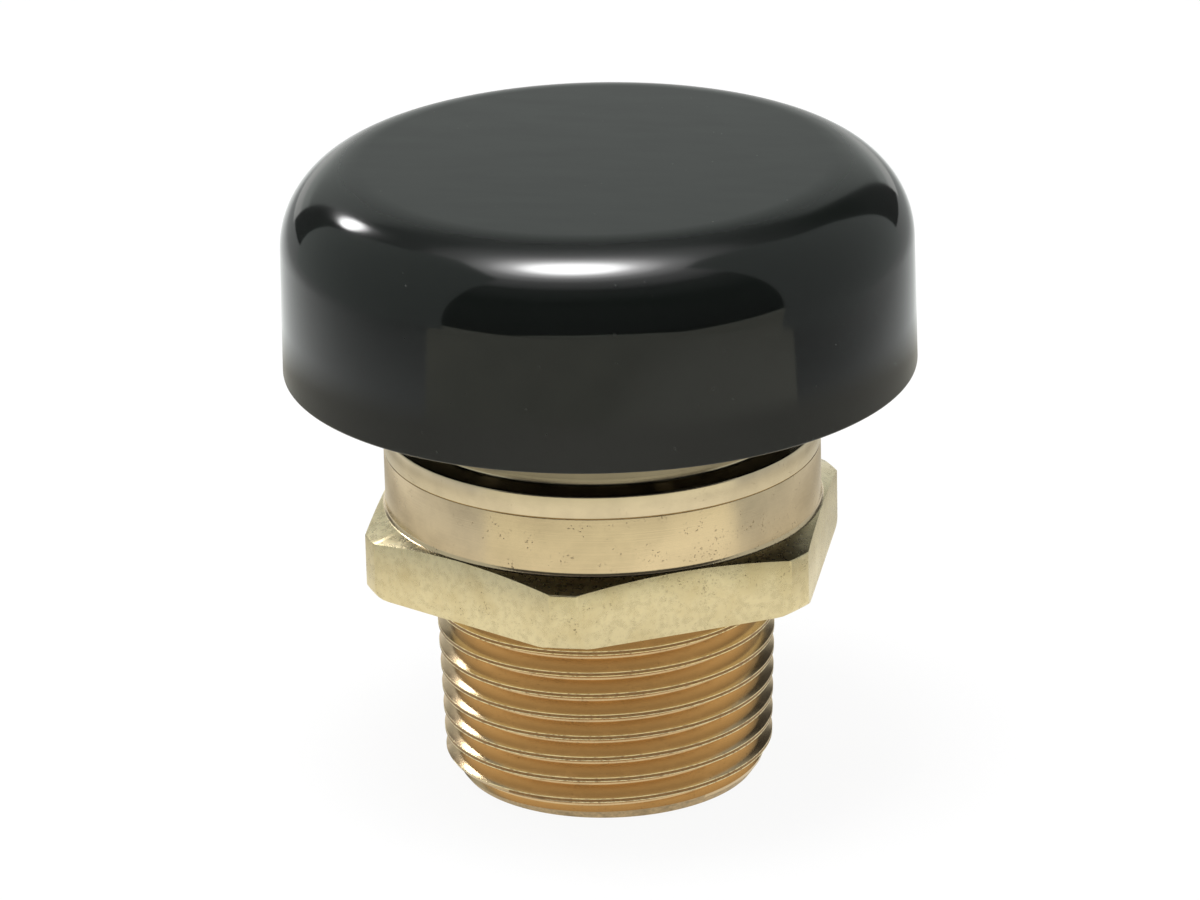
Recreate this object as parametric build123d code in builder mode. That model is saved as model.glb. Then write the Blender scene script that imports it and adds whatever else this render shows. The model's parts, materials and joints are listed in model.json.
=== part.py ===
from build123d import *

import os
from math import cos, radians, tan

# Vacuum relief valve for a 3/4 inch tapered pipe thread. A turned brass body
# screws into the pipe. A bonnet screwed into its top carries the valve seat,
# which faces down. A soft disc on a sprung stem is drawn up against that seat,
# and drops to let air in when the pipe is under vacuum. A push-on cap keeps
# dirt out and leaves a ring of open air under its skirt.
# Millimetres. Z is the valve's axis and Z = 0 is the end face of the thread.

# Pipe thread: its crest cone, with no helix. 14 threads to the inch, 1 in 16.
thread_length = 17.5
thread_end_radius = 13.0
thread_taper = 1 / 32
thread_lead_height = 1.8
thread_lead_depth = 1.3
inlet_radius = 8.5
inlet_edge_break = 0.4

# Hexagon, with corners turned off and a shallow cone on its upper face
hex_across_flats = 35.0
hex_height = 5.25
hex_corner_cut = 0.58
hex_cone_angle = 16.0
hex_under_break = 0.3

# Round collar above the hexagon, turned to just under its flats
collar_inset = 0.25
collar_height = 4.7
joint_edge_break = 0.1

# Chamber inside the body: a threaded socket over a drilled pocket
socket_depth = 5.15
bonnet_fit = 0.05
socket_wall = 2.9
pocket_ledge = 1.9
pocket_depth = 2.45
drill_slope = 31.0
gasket_thickness = 1.0
gasket_inset = 0.1

# Bonnet: flange, spigot below it, boss above it, and the deck with the seat
flange_thickness = 1.9
flange_edge_break = 0.2
boss_radius = 15.2
boss_height = 6.65
boss_wall = 2.0
boss_edge_break = 0.35
deck_rise = 2.1
deck_thickness = 2.0
lip_crest_width = 0.4
lip_root_width = 1.1
lip_height = 0.8
port_count = 8
port_radius = 1.7
port_land = 0.35
hub_wall = 1.6
hub_recess = 0.45
hub_edge_break = 0.3

# Stem, disc and their fastenings
stem_radius = 1.5
guide_clearance = 0.1
slip_clearance = 0.05
stem_collar_width = 0.9
stem_collar_height = 0.7
stem_tail = 0.5
stem_tip = 0.9
stem_edge_break = 0.3
groove_depth = 0.35
disc_passage = 1.35
seal_overlap = 0.9
seal_thickness = 1.5
holder_floor = 1.1
holder_rim = 0.65
holder_rim_height = 0.9
holder_edge_break = 0.25
washer_radius = 3.5
washer_thickness = 0.5
nut_across_flats = 5.5
nut_height = 2.4

# Spring, its cup and the ring that holds the cup on the stem
lift = 3.0
stop_clearance = 0.03
spring_length = 8.0
spring_wire_radius = 0.35
spring_hub_gap = 0.75
spring_turns = 5.5
cup_thickness = 0.5
cup_rim_height = 1.0
cup_rim_wall = 0.45
cup_clearance = 0.15
ring_thickness = 0.6
ring_width = 1.5
ring_band = 0.75
ring_prong_width = 1.3
ring_mouth = 2.2

# Cap: a drafted dome with ribs inside that sit on the boss
cap_radius = 24.9
cap_height = 16.7
cap_gap = 4.75
cap_draft = 1.0
cap_edge_radius = 6.5
cap_wall = 1.8
cap_roof = 2.0
cap_rim_radius = 0.2
rib_count = 6
rib_thickness = 1.6
rib_grip = 4.5
rib_foot = 2.2
rib_overhang = 0.2
rib_clearance = 0.1
rib_rise = 6.0
rib_root = 0.6

# Heights that follow from the sizes above
hex_base = thread_length
hex_top = hex_base + hex_height
body_top = hex_top + collar_height
flange_top = body_top + flange_thickness
boss_top = flange_top + boss_height
ledge = body_top - socket_depth
pocket_floor = ledge - pocket_depth
spigot_end = ledge + gasket_thickness
deck_bottom = body_top + deck_rise
deck_top = deck_bottom + deck_thickness
lip_crest = deck_bottom - lip_height
hub_bottom = deck_bottom + hub_recess
seal_bottom = lip_crest - seal_thickness
holder_bottom = seal_bottom - holder_floor
washer_bottom = holder_bottom - washer_thickness
nut_bottom = washer_bottom - nut_height
stem_bottom = nut_bottom - stem_tail
cup_bottom = deck_top + spring_length
cup_top = cup_bottom + cup_thickness
ring_top = cup_top + ring_thickness
stem_top = ring_top + stem_tip
hub_top = cup_bottom - lift - stop_clearance
cap_base = flange_top + cap_gap
cap_top = cap_base + cap_height

# Radii that follow from the sizes above, from the hexagon inwards
hex_corner_radius = hex_across_flats / 2 / cos(radians(30)) - hex_corner_cut
collar_radius = hex_across_flats / 2 - collar_inset
socket_radius = collar_radius - socket_wall
spigot_radius = socket_radius - bonnet_fit
pocket_radius = socket_radius - pocket_ledge
holder_radius = pocket_radius - disc_passage
seal_radius = holder_radius - holder_rim - slip_clearance
lip_radius = seal_radius - seal_overlap - lip_crest_width / 2
port_circle_radius = lip_radius - lip_root_width / 2 - port_land - port_radius
well_radius = boss_radius - boss_wall

# Radii that follow from the stem's, outwards
groove_radius = stem_radius - groove_depth
stem_collar_radius = stem_radius + stem_collar_width
ring_radius = stem_radius + ring_width
guide_radius = stem_radius + guide_clearance
hub_radius = guide_radius + hub_wall
spring_coil_radius = hub_radius + spring_hub_gap + spring_wire_radius
cup_inner_radius = spring_coil_radius + spring_wire_radius + cup_clearance
cup_radius = cup_inner_radius + cup_rim_wall


def crest_radius(height):
    """Radius of the thread's crest cone at a height above its end face."""
    return thread_end_radius + thread_taper * height


def revolved_outline(*corners):
    """The turned shape whose half section has these corners, as (radius, height)."""
    with BuildSketch(Plane.XZ) as section:
        Polygon(*corners, align=None)
    return section.sketch


def cap_half_section(side_inset, roof_inset, base):
    """Half section of the cap's dome, drawn this far inside its outer skin."""
    top = cap_top - roof_inset
    foot_radius = cap_radius - side_inset - (base - cap_base) * tan(radians(cap_draft))
    top_radius = cap_radius - side_inset - (top - cap_base) * tan(radians(cap_draft))
    with BuildSketch(Plane.XZ) as section:
        Polygon((0, base), (foot_radius, base), (top_radius, top), (0, top), align=None)
        shoulder = section.vertices().group_by(Axis.Y)[-1].sort_by(Axis.X)[-1]
        fillet(shoulder, cap_edge_radius - side_inset)
    return section.sketch


# Body: hexagon first, then the turned lengths above and below it, then the bores
with BuildPart() as valve_body:
    with BuildSketch(Plane.XY.offset(hex_base)):
        RegularPolygon(hex_across_flats / 2, 6, major_radius=False, rotation=30)
    extrude(amount=hex_height)
    hex_shoulder = hex_top - (hex_corner_radius - collar_radius) * tan(radians(hex_cone_angle))
    add(revolved_outline(
        (0, hex_base),
        (hex_corner_radius - hex_under_break, hex_base),
        (hex_corner_radius, hex_base + hex_under_break),
        (hex_corner_radius, hex_shoulder),
        (collar_radius, hex_top),
        (0, hex_top),
    ))
    revolve(axis=Axis.Z, mode=Mode.INTERSECT)
    add(revolved_outline(
        (0, 0),
        (crest_radius(thread_lead_height) - thread_lead_depth, 0),
        (crest_radius(thread_lead_height), thread_lead_height),
        (crest_radius(thread_length), thread_length),
        (0, thread_length),
    ))
    revolve(axis=Axis.Z)
    add(revolved_outline(
        (0, hex_top),
        (collar_radius, hex_top),
        (collar_radius, body_top - joint_edge_break),
        (collar_radius - joint_edge_break, body_top),
        (0, body_top),
    ))
    revolve(axis=Axis.Z)
    drill_depth = (pocket_radius - inlet_radius) * tan(radians(drill_slope))
    add(revolved_outline(
        (0, 0),
        (inlet_radius + inlet_edge_break, 0),
        (inlet_radius, inlet_edge_break),
        (inlet_radius, pocket_floor - drill_depth),
        (pocket_radius, pocket_floor),
        (pocket_radius, ledge),
        (socket_radius, ledge),
        (socket_radius, body_top),
        (0, body_top),
    ))
    revolve(axis=Axis.Z, mode=Mode.SUBTRACT)
valve_body.part.label = "valve_body"

# Gasket: a flat ring on the ledge, nipped by the end of the bonnet's spigot
with BuildPart() as bonnet_gasket:
    with BuildSketch(Plane.XY.offset(ledge)):
        Circle(socket_radius - gasket_inset)
        Circle(pocket_radius + gasket_inset, mode=Mode.SUBTRACT)
    extrude(amount=gasket_thickness)
bonnet_gasket.part.label = "bonnet_gasket"

# Bonnet: turned outside, bored from both ends, leaving a deck across the middle
with BuildPart() as bonnet:
    add(revolved_outline(
        (0, spigot_end),
        (spigot_radius, spigot_end),
        (spigot_radius, body_top),
        (collar_radius - joint_edge_break, body_top),
        (collar_radius, body_top + joint_edge_break),
        (collar_radius, flange_top - flange_edge_break),
        (collar_radius - flange_edge_break, flange_top),
        (boss_radius, flange_top),
        (boss_radius, boss_top - boss_edge_break),
        (boss_radius - boss_edge_break, boss_top),
        (0, boss_top),
    ))
    revolve(axis=Axis.Z)
    add(revolved_outline(
        (0, spigot_end),
        (pocket_radius, spigot_end),
        (pocket_radius, deck_bottom),
        (lip_radius + lip_root_width / 2, deck_bottom),
        (lip_radius + lip_crest_width / 2, lip_crest),
        (lip_radius - lip_crest_width / 2, lip_crest),
        (lip_radius - lip_root_width / 2, deck_bottom),
        (hub_radius, deck_bottom),
        (hub_radius, hub_bottom),
        (0, hub_bottom),
    ))
    revolve(axis=Axis.Z, mode=Mode.SUBTRACT)
    with BuildSketch(Plane.XY.offset(deck_top)):
        Circle(well_radius)
    extrude(amount=boss_top - deck_top, mode=Mode.SUBTRACT)
    add(revolved_outline(
        (0, deck_top),
        (hub_radius, deck_top),
        (hub_radius, hub_top - hub_edge_break),
        (hub_radius - hub_edge_break, hub_top),
        (0, hub_top),
    ))
    revolve(axis=Axis.Z)
    with Locations((0, 0, hub_top)):
        Hole(guide_radius)
    with Locations(Plane.XY.offset(deck_top)):
        with PolarLocations(port_circle_radius, port_count):
            Hole(port_radius, depth=deck_thickness + lip_height)
bonnet.part.label = "bonnet"

# Stem: threaded tail, clamping collar, guided shank and ring groove in one turning
with BuildPart() as valve_stem:
    add(revolved_outline(
        (0, stem_bottom),
        (stem_radius - stem_edge_break, stem_bottom),
        (stem_radius, stem_bottom + stem_edge_break),
        (stem_radius, lip_crest),
        (stem_collar_radius, lip_crest),
        (stem_collar_radius, lip_crest + stem_collar_height),
        (stem_radius, lip_crest + stem_collar_height),
        (stem_radius, cup_top),
        (groove_radius, cup_top),
        (groove_radius, ring_top),
        (stem_radius, ring_top),
        (stem_radius, stem_top - stem_edge_break),
        (stem_radius - stem_edge_break, stem_top),
        (0, stem_top),
    ))
    revolve(axis=Axis.Z)
valve_stem.part.label = "valve_stem"

# Seal: the soft disc that closes on the seat lip
with BuildPart() as seal_disc:
    with BuildSketch(Plane.XY.offset(seal_bottom)):
        Circle(seal_radius)
        Circle(stem_radius + slip_clearance, mode=Mode.SUBTRACT)
    extrude(amount=seal_thickness)
seal_disc.part.label = "seal_disc"

# Holder: a shallow dish that backs the seal and keeps it from spreading
with BuildPart() as disc_holder:
    add(revolved_outline(
        (stem_radius + slip_clearance, holder_bottom),
        (holder_radius - holder_edge_break, holder_bottom),
        (holder_radius, holder_bottom + holder_edge_break),
        (holder_radius, seal_bottom + holder_rim_height),
        (holder_radius - holder_rim, seal_bottom + holder_rim_height),
        (holder_radius - holder_rim, seal_bottom),
        (stem_radius + slip_clearance, seal_bottom),
    ))
    revolve(axis=Axis.Z)
disc_holder.part.label = "disc_holder"

# Washer and nut that clamp the holder and the seal against the stem's collar
with BuildPart() as stem_washer:
    with BuildSketch(Plane.XY.offset(washer_bottom)):
        Circle(washer_radius)
        Circle(stem_radius + slip_clearance, mode=Mode.SUBTRACT)
    extrude(amount=washer_thickness)
stem_washer.part.label = "stem_washer"

nut_corner_radius = nut_across_flats / 2 / cos(radians(30))
nut_corner_break = nut_corner_radius - nut_across_flats / 2
with BuildPart() as stem_nut:
    with BuildSketch(Plane.XY.offset(nut_bottom)):
        RegularPolygon(nut_across_flats / 2, 6, major_radius=False)
    extrude(amount=nut_height)
    add(revolved_outline(
        (0, nut_bottom),
        (nut_across_flats / 2, nut_bottom),
        (nut_corner_radius, nut_bottom + nut_corner_break),
        (nut_corner_radius, washer_bottom),
        (0, washer_bottom),
    ))
    revolve(axis=Axis.Z, mode=Mode.INTERSECT)
    with Locations((0, 0, nut_bottom)):
        Hole(stem_radius + slip_clearance)
stem_nut.part.label = "stem_nut"

# Spring: one coil of round wire, ground flat where it meets the deck and the cup
with BuildPart() as return_spring:
    spring_pitch = spring_length / spring_turns
    with BuildLine():
        coil = Helix(spring_pitch, spring_length, spring_coil_radius, center=(0, 0, deck_top))
    with BuildSketch(Plane(origin=coil @ 0, z_dir=coil % 0)):
        Circle(spring_wire_radius)
    sweep(is_frenet=True)
    with BuildSketch(Plane.XY.offset(deck_top)):
        Circle(spring_coil_radius * 2)
    extrude(amount=spring_length, mode=Mode.INTERSECT)
return_spring.part.label = "return_spring"

# Cup: a pressed washer with a turned-down rim that keeps the spring central
with BuildPart() as spring_cup:
    add(revolved_outline(
        (stem_radius + slip_clearance, cup_bottom),
        (cup_inner_radius, cup_bottom),
        (cup_inner_radius, cup_top - cup_rim_height),
        (cup_radius, cup_top - cup_rim_height),
        (cup_radius, cup_top),
        (stem_radius + slip_clearance, cup_top),
    ))
    revolve(axis=Axis.Z)
    rim_corner = spring_cup.edges().group_by(Axis.Z)[-1].sort_by(SortBy.RADIUS)[-1]
    fillet(rim_corner, cup_rim_wall * 0.8)
spring_cup.part.label = "spring_cup"

# Retaining ring: an open ring with three prongs that spring into the stem's groove
with BuildPart() as retaining_ring:
    with BuildSketch(Plane.XY.offset(cup_top)):
        Circle(ring_radius)
        Circle(ring_radius - ring_band, mode=Mode.SUBTRACT)
        with PolarLocations(ring_radius / 2, 3, start_angle=90, angular_range=270):
            Rectangle(ring_radius - ring_band / 2, ring_prong_width)
        Circle(groove_radius + slip_clearance, mode=Mode.SUBTRACT)
        with Locations((ring_radius / 2, 0)):
            Rectangle(ring_radius * 1.2, ring_mouth, mode=Mode.SUBTRACT)
    extrude(amount=ring_thickness)
retaining_ring.part.label = "retaining_ring"

# Cap ribs: radial plates that hang from the dome, rest on the boss and grip its side
with BuildPart() as cap_ribs:
    rib_inner = well_radius + rib_overhang
    rib_side = boss_radius + rib_clearance
    rib_low = boss_top - rib_grip
    for turn in range(rib_count):
        with BuildSketch(Plane.XZ.rotated((0, 0, turn * 360 / rib_count))):
            Polygon(
                (rib_inner, boss_top),
                (rib_side, boss_top),
                (rib_side, rib_low),
                (rib_side + rib_foot, rib_low),
                (rib_side + rib_foot, boss_top),
                (cap_radius, boss_top + rib_rise),
                (cap_radius, cap_top),
                (rib_inner, cap_top),
                align=None,
            )
        extrude(amount=rib_thickness / 2, both=True)
    add(cap_half_section(cap_wall - rib_root, cap_roof - rib_root, rib_low))
    revolve(axis=Axis.Z, mode=Mode.INTERSECT)

# Cap: a moulded shell with a drafted skirt and a large round shoulder
with BuildPart() as vent_cap:
    add(cap_half_section(0, 0, cap_base))
    revolve(axis=Axis.Z)
    add(cap_half_section(cap_wall, cap_roof, cap_base))
    revolve(axis=Axis.Z, mode=Mode.SUBTRACT)
    fillet(vent_cap.edges().group_by(Axis.Z)[0], cap_rim_radius)
    add(cap_ribs.part)
vent_cap.part.label = "vent_cap"

# One file for each piece
os.makedirs("parts", exist_ok=True)
for piece in (
    valve_body,
    bonnet_gasket,
    bonnet,
    valve_stem,
    seal_disc,
    disc_holder,
    stem_washer,
    stem_nut,
    return_spring,
    spring_cup,
    retaining_ring,
    vent_cap,
):
    export_step(piece.part, f"parts/{piece.part.label}.step")
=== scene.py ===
"""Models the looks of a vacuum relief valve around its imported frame: turned brass, a helical pipe thread,
a moulded cap, and the sprung disc inside. Everything is in metres, with Z up the valve's axis."""

import json
from math import ceil, cos, pi, radians, sin, tan, tau

import bmesh
import bpy
from mathutils import Matrix, Vector


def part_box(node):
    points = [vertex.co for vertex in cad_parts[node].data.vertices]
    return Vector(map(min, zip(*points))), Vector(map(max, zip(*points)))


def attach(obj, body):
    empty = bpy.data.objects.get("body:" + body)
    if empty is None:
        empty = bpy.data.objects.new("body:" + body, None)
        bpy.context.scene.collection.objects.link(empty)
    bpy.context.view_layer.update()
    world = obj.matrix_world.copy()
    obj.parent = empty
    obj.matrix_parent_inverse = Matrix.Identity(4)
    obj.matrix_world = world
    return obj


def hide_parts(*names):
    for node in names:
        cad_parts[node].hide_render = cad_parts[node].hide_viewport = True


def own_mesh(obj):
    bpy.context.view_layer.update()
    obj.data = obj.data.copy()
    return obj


bl_info = {
    "name": "Vacuum relief valve",
    "version": (1, 0, 0),
    "blender": (4, 5, 0),
    "location": "3D View > Sidebar > Valve",
    "description": "Adds the pieces of a vacuum relief valve to its CAD frame",
    "category": "Object",
}

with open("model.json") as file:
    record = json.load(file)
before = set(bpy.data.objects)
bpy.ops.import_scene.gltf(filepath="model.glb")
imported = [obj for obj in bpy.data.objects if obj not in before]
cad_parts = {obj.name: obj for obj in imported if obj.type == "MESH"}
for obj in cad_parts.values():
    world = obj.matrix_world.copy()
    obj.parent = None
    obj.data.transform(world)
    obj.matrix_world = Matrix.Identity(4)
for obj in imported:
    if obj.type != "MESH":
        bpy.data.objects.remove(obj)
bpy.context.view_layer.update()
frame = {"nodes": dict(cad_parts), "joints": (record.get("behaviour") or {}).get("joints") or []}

MM = 0.001
TURN_STEPS = 192
THREAD_STEPS = 192
WELD = 2e-6
ORIGIN = (0, 0, 0)
UP = (0, 0, 1)


def length(name, description, default):
    """A length property, given in millimetres and held in metres."""
    return bpy.props.FloatProperty(
        name=name, description=description, default=default * MM, unit="LENGTH", precision=5
    )


def angle(name, description, default):
    """An angle property, given in degrees."""
    return bpy.props.FloatProperty(
        name=name, description=description, default=radians(default), unit="ROTATION"
    )


def number(name, description, default):
    """A plain number property."""
    return bpy.props.FloatProperty(name=name, description=description, default=default)


def colour(name, description, default):
    """A linear colour property."""
    return bpy.props.FloatVectorProperty(
        name=name, description=description, default=default, subtype="COLOR", size=3, min=0, max=1
    )


# Sizes and colours that a user would change


class ThreadSizes(bpy.types.PropertyGroup):
    """The male pipe thread."""

    pitch: length("Pitch", "Distance from crest to crest", 25.4 / 14)
    taper: number("Taper", "Growth of the radius per unit of height", 1 / 32)
    end_radius: length("End radius", "Crest radius at the end face", 13.015)
    depth: length("Depth", "Radial depth from crest to root", 1.24)
    crest: length("Crest", "Width of the flat crest", 0.38)
    root: length("Root", "Width of the flat root", 0.14)
    burr: length("Burr", "Height of the burr along the crest's edges", 0.02)
    burr_width: length("Burr width", "Width of that burr", 0.09)
    lead_height: length("Lead height", "Height of the cone turned on the end", 1.8)
    lead_depth: length("Lead depth", "Radial depth of that cone at the end face", 1.3)
    first_crest: length("First crest", "Height of a crest's middle where it crosses the X axis", 0.66)


class BodySizes(bpy.types.PropertyGroup):
    """The hexagon, the collar above it and the chamber inside."""

    across_flats: length("Across flats", "Width of the hexagon", 35.0)
    corner_radius: length("Corner radius", "Radius that the corners are turned to", 19.627)
    hex_base: length("Hexagon base", "Height of the hexagon's lower face", 17.5)
    hex_top: length("Hexagon top", "Height of the collar's foot", 22.75)
    cone: angle("Cone", "Slope of the hexagon's upper face", 16.0)
    collar_radius: length("Collar radius", "Radius of the collar", 17.25)
    collar_foot: length("Collar foot", "Radius of the hollow at the collar's foot", 0.28)
    inlet_radius: length("Inlet radius", "Radius of the bore through the thread", 8.5)
    pocket_radius: length("Pocket radius", "Radius of the drilled pocket", 12.45)
    pocket_floor: length("Pocket floor", "Height of the pocket's floor", 19.85)
    drill_slope: angle("Drill slope", "Slope of the pocket's floor", 31.0)
    ledge: length("Ledge", "Height of the ledge that holds the gasket", 22.3)
    edge: length("Edge", "Break on the machined edges", 0.1)


class BonnetSizes(bpy.types.PropertyGroup):
    """The bonnet, with its seat and ports."""

    flange_top: length("Flange top", "Height of the flange's upper face", 29.35)
    boss_radius: length("Boss radius", "Outer radius of the boss", 15.2)
    well_radius: length("Well radius", "Inner radius of the boss", 13.2)
    boss_top: length("Boss top", "Height of the boss's rim", 36.0)
    deck_bottom: length("Deck bottom", "Height of the deck's lower face", 29.55)
    deck_top: length("Deck top", "Height of the deck's upper face", 31.55)
    lip_radius: length("Lip radius", "Radius of the seat lip", 9.3)
    lip_crest: length("Lip crest", "Width of the lip where it seals", 0.4)
    lip_root: length("Lip root", "Width of the lip where it leaves the deck", 1.1)
    lip_height: length("Lip height", "Height of the lip", 0.8)
    hub_radius: length("Hub radius", "Radius of the hub that guides the stem", 3.2)
    hub_recess: length("Hub recess", "Depth of the recess under the hub", 0.45)
    guide_radius: length("Guide radius", "Radius of the stem's guide", 1.6)
    port_radius: length("Port radius", "Radius of each port", 1.7)
    port_circle: length("Port circle", "Radius of the circle that the ports lie on", 6.7)
    ports: bpy.props.IntProperty(name="Ports", description="Number of ports", default=8, min=3)


class SpringSizes(bpy.types.PropertyGroup):
    """The return spring."""

    wire_radius: length("Wire radius", "Radius of the wire", 0.35)
    coil_radius: length("Coil radius", "Radius of the coil's centreline", 4.3)
    end_turns: number("End turns", "Closed turns at each end", 1.0)
    turns: number("Turns", "Open turns between the ends", 4.0)


class CapSizes(bpy.types.PropertyGroup):
    """The moulded cap."""

    radius: length("Radius", "Outer radius at the rim", 24.9)
    draft: angle("Draft", "Slope of the skirt", 1.0)
    shoulder: length("Shoulder", "Radius of the rounded shoulder", 6.5)
    wall: length("Wall", "Thickness of the skirt", 1.8)
    roof: length("Roof", "Thickness of the top", 2.0)
    rim: length("Rim", "Rounding of the rim", 0.2)
    base: length("Base", "Height of the rim", 34.1)
    ribs: bpy.props.IntProperty(name="Ribs", description="Number of ribs", default=6, min=3)
    rib_thickness: length("Rib thickness", "Thickness of each rib", 1.6)
    rib_foot: length("Rib foot", "Radial width of a rib beside the boss", 2.2)
    rib_rise: length("Rib rise", "Height of a rib's slope above the boss", 6.0)
    rib_root: length("Rib root", "Depth of a rib's root in the wall", 0.6)


class FinishColours(bpy.types.PropertyGroup):
    """Linear colours of the finishes."""

    bar: colour("Bar", "Brass of the hexagon", (0.90, 0.775, 0.49))
    collar: colour("Collar", "Brass of the collar", (0.88, 0.70, 0.455))
    bonnet: colour("Bonnet", "Brass of the bonnet", (0.82, 0.69, 0.48))
    thread: colour("Thread", "Brass of the thread", (0.605, 0.45, 0.27))
    # Crest: a darker, browner brass than the thread's flanks.
    crest: colour("Crest", "Dull skin left on the thread's crest", (0.31, 0.18, 0.08))
    tarnish: colour("Tarnish", "Darker brass in pits and corners", (0.20, 0.14, 0.075))
    plastic: colour("Plastic", "Cap", (0.0045, 0.0057, 0.0050))
    steel: colour("Steel", "Stem, nut, washer and spring cup", (0.56, 0.55, 0.52))
    silicone: colour("Silicone", "Seal disc", (0.30, 0.055, 0.03))
    fibre: colour("Fibre", "Gasket", (0.16, 0.05, 0.03))


class StageSettings(bpy.types.PropertyGroup):
    """Camera, floor and lamps. Azimuths run from the camera's side, positive to its right."""

    azimuth: angle("Azimuth", "Turn of the camera and lamps about the valve", 9.7)
    elevation: angle("Elevation", "Camera's height above the horizon", 21.062)
    distance: length("Distance", "Camera's distance from its target", 500.0)
    lens: number("Lens", "Focal length in millimetres on a 36 mm sensor", 190.03)
    roll: angle("Roll", "Camera's roll", -1.373)
    target_side: length("Target side", "Sideways place of the target", -0.184)
    target_height: length("Target height", "Height of the target", 26.49)


def scene_settings(name):
    """The registered property group of that name."""
    return getattr(bpy.context.scene, f"valve_{name}")


# Shader maths: a wrapped socket, and the node tree of one finish


class Value:
    """A shader socket, on which sums, products and comparisons add Math nodes."""

    def __init__(self, finish, socket):
        self.finish = finish
        self.socket = socket

    def math(self, operation, first, second):
        return self.finish.node("ShaderNodeMath", {"operation": operation}, {0: first, 1: second})

    def __add__(self, other):
        return self.math("ADD", self, other)

    def __radd__(self, other):
        return self.math("ADD", other, self)

    def __sub__(self, other):
        return self.math("SUBTRACT", self, other)

    def __rsub__(self, other):
        return self.math("SUBTRACT", other, self)

    def __mul__(self, other):
        return self.math("MULTIPLY", self, other)

    def __rmul__(self, other):
        return self.math("MULTIPLY", other, self)

    def __truediv__(self, other):
        return self.math("DIVIDE", self, other)

    def output(self, name):
        """Another output of the same node."""
        return Value(self.finish, self.socket.node.outputs[name])


class Finish:
    """A material and the helpers that build its nodes."""

    def __init__(self, name, **constants):
        self.material = bpy.data.materials.new(name)
        self.material.use_nodes = True
        self.tree = self.material.node_tree
        self.shader = self.tree.nodes["Principled BSDF"]
        for socket, value in constants.items():
            self.shader.inputs[socket.replace("_", " ").title().replace("Ior", "IOR")].default_value = value
        self.place = self.node("ShaderNodeTexCoord").output("Object")

    def feed(self, socket, value):
        if isinstance(value, Value):
            self.tree.links.new(value.socket, socket)
        elif hasattr(socket.default_value, "__len__") and len(socket.default_value) == 4:
            socket.default_value = (*value, 1) if len(value) == 3 else value
        else:
            socket.default_value = value

    def node(self, kind, settings=None, sockets=None):
        made = self.tree.nodes.new(kind)
        for setting, value in (settings or {}).items():
            if setting == "stops":
                self.set_stops(made.color_ramp, value)
            else:
                setattr(made, setting, value)
        for socket, value in (sockets or {}).items():
            self.feed(made.inputs[socket], value)
        return Value(self, made.outputs[0])

    def set_stops(self, ramp, stops):
        for _ in range(len(stops) - 2):
            ramp.elements.new(0.5)
        for element, (position, level) in zip(ramp.elements, stops):
            element.position = position
            element.color = (level, level, level, 1)

    def surface(self, socket, value):
        """Links a value to the finish's shader."""
        self.feed(self.shader.inputs[socket], value)

    def axis(self, name):
        """One Object coordinate, in metres."""
        return self.node("ShaderNodeSeparateXYZ", None, {0: self.place}).output(name)

    def radius(self):
        """Distance from the valve's axis, in metres."""
        flat = self.node(
            "ShaderNodeVectorMath", {"operation": "MULTIPLY"}, {0: self.place, 1: (1, 1, 0)}
        )
        return self.node("ShaderNodeVectorMath", {"operation": "LENGTH"}, {0: flat}).output("Value")

    def stretched(self, x, y, z, turn_by=0):
        """Object coordinates turned about Z and scaled along each axis."""
        sockets = {"Vector": self.place, "Rotation": (0, 0, turn_by), "Scale": (x, y, z)}
        return self.node("ShaderNodeMapping", None, sockets)

    def noise(self, grain, detail=3.0, roughness=0.55, place=None):
        """Noise whose features are about that many metres across."""
        sockets = {
            "Vector": place or self.place, "Scale": 1 / grain, "Detail": detail, "Roughness": roughness
        }
        return self.node("ShaderNodeTexNoise", None, sockets)

    def lines(self, along, spacing, detail=2.0):
        """Noise along one value only, as a turning tool leaves."""
        sockets = {"W": along, "Scale": 1 / spacing, "Detail": detail, "Roughness": 0.6}
        return self.node("ShaderNodeTexNoise", {"noise_dimensions": "1D"}, sockets)

    def spots(self, spacing, size, place=None):
        """1 in the middle of spots, falling to 0 at their edge. Size is a share of the spacing."""
        cell = self.node(
            "ShaderNodeTexVoronoi", None, {"Vector": place or self.place, "Scale": 1 / spacing}
        ).output("Distance")
        return self.ramp(cell / size, (0.55, 1), (1.0, 0))

    def pits(self, grain, level):
        """Irregular specks: 1 where fine noise is above that level."""
        return self.ramp(self.noise(grain, 2.0), (level, 0), (level + 0.07, 1))

    def ramp(self, value, *stops):
        """A value read through (position, level) stops."""
        return self.node("ShaderNodeValToRGB", {"stops": stops}, {0: value})

    def mixed(self, first, second, share):
        """A mix of two colours."""
        made = self.node("ShaderNodeMix", {"data_type": "RGBA"}, {"Factor": share})
        self.feed(made.socket.node.inputs[6], first)
        self.feed(made.socket.node.inputs[7], second)
        return Value(self, made.socket.node.outputs[2])

    def relief(self, height, strength, depth):
        """Bumps the surface by a height of 0 to 1 over that depth in metres."""
        bump = self.node(
            "ShaderNodeBump", None, {"Strength": strength, "Distance": depth, "Height": height}
        )
        self.surface("Normal", bump)


def shaded(base, factor):
    """A colour times a number."""
    return tuple(part * factor for part in base)


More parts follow.
